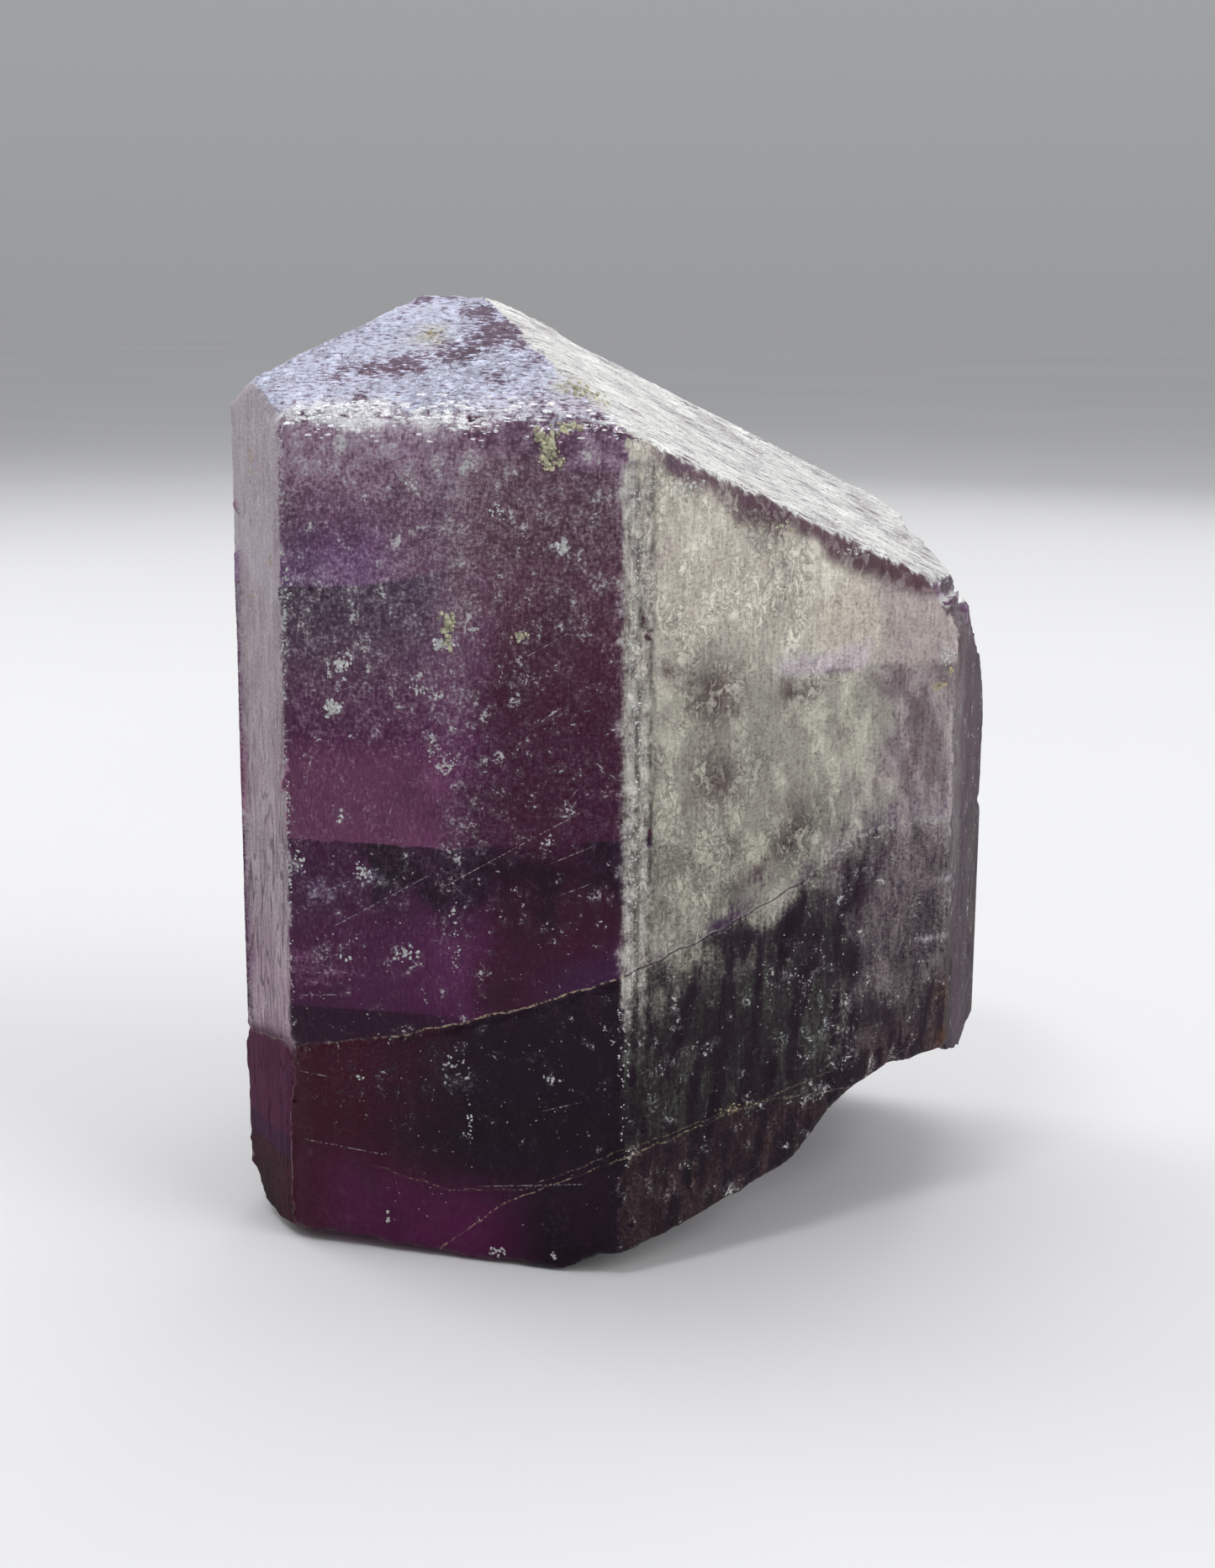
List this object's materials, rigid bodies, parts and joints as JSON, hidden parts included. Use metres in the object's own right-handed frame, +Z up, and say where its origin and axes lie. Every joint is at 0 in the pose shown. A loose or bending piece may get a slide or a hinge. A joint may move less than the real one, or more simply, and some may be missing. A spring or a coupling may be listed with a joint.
{
  "type": "purple scapolite crystal",
  "caption": "Stout purple scapolite crystal: a prism under a low off-centre pyramid, standing on its broken base.",
  "frame": {"origin": "middle of the crystal's outline, on the flat of the broken base that it stands on", "axes": "+Z up along the crystal's long axis, -Y out of the wide front prism face, +X out of the right prism face"},
  "size_m": [0.0348, 0.0304, 0.0461],
  "materials": {
    "scapolite": "translucent purple, glassy on broken surfaces, frosted with pale growth marks on the faces"
  },
  "bodies": {
    "root": {"scapolite_crystal": "scapolite"}
  },
  "joints": []
}
